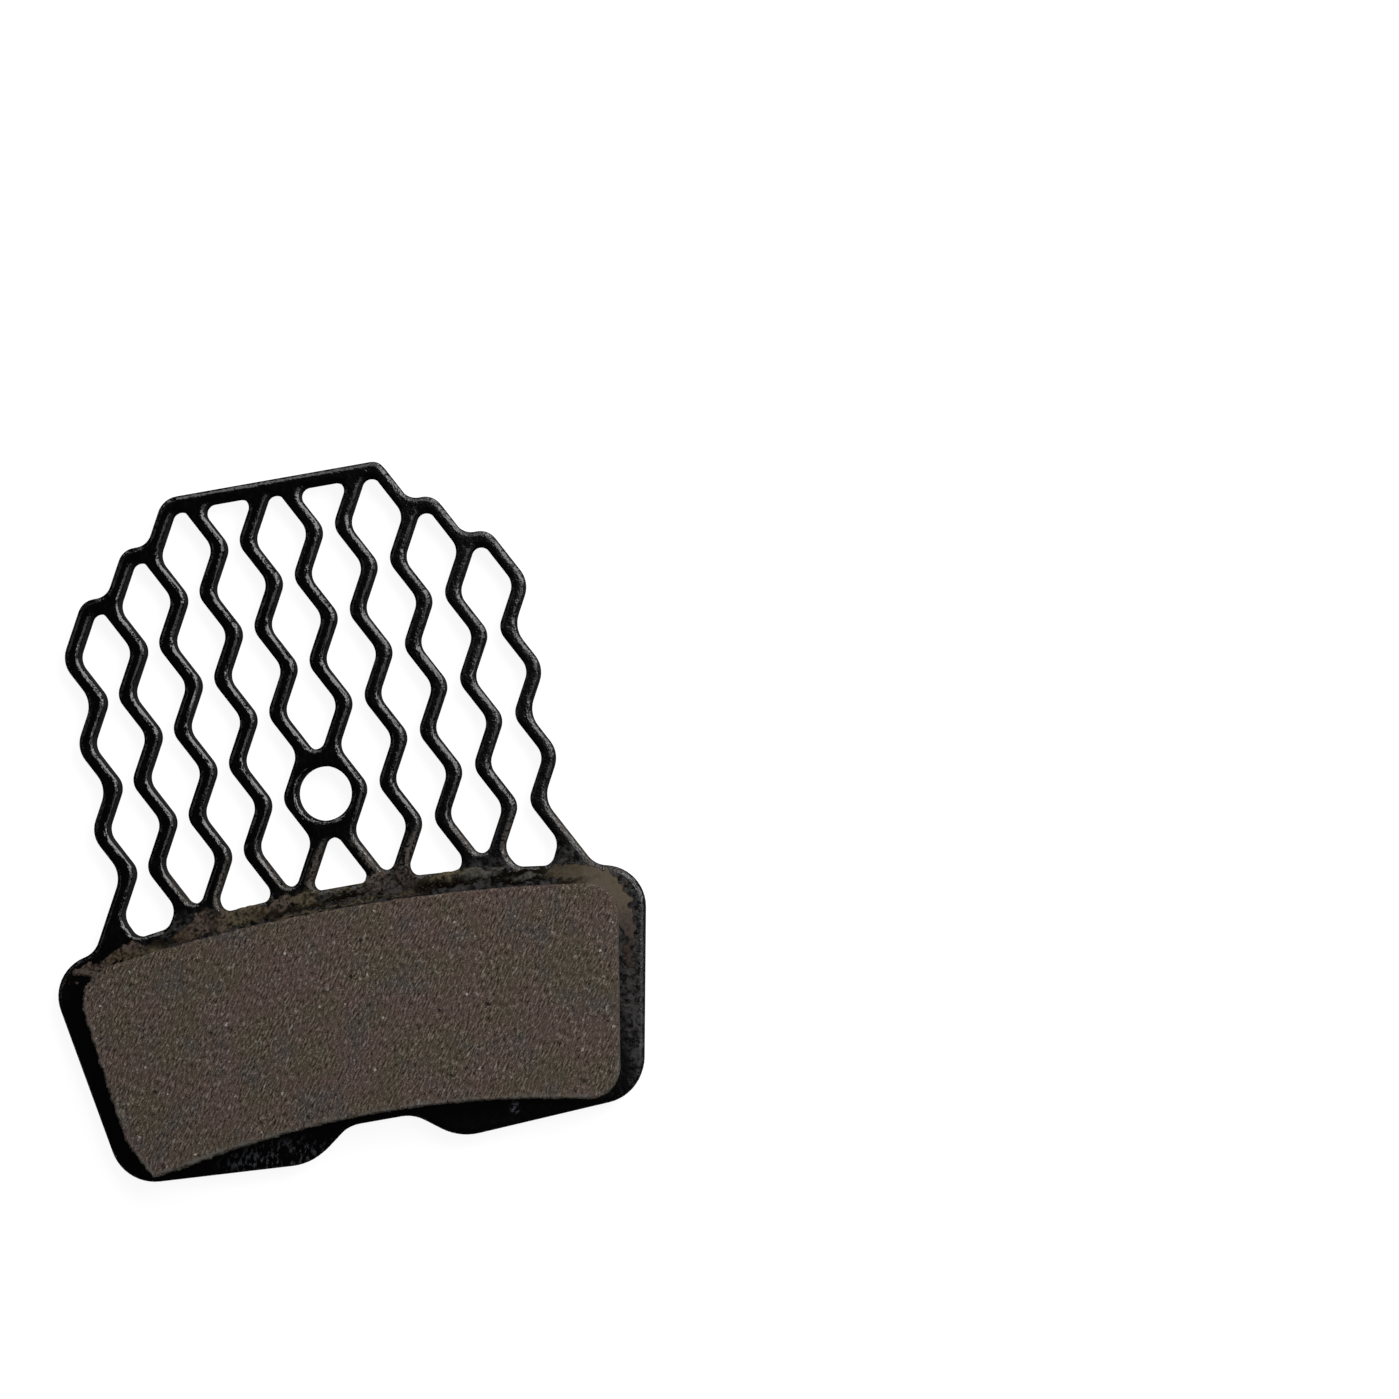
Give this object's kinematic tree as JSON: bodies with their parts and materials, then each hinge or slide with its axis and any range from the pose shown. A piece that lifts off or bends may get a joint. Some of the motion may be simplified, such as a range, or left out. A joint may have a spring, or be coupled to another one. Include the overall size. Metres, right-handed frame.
{
  "type": "bicycle disc brake pad",
  "caption": "Flat bicycle disc brake pad: black coated back plate with a zigzag cooling lattice and a ringed pin hole above a moulded friction lining.",
  "frame": {"origin": "centre of the pin hole, on the back plate's back face", "axes": "+Z along the pin hole, out of the friction face; +Y from the lobed foot to the lattice's top bar; X across the pad"},
  "size_m": [0.0408, 0.0466, 0.004],
  "materials": {
    "back_plate": "black powder coat, satin, with a fine grain",
    "friction_lining": "ground matte friction compound, brown-grey, with pale grains"
  },
  "bodies": {
    "root": {"back_plate": "back_plate", "friction_lining": "friction_lining"}
  },
  "joints": []
}
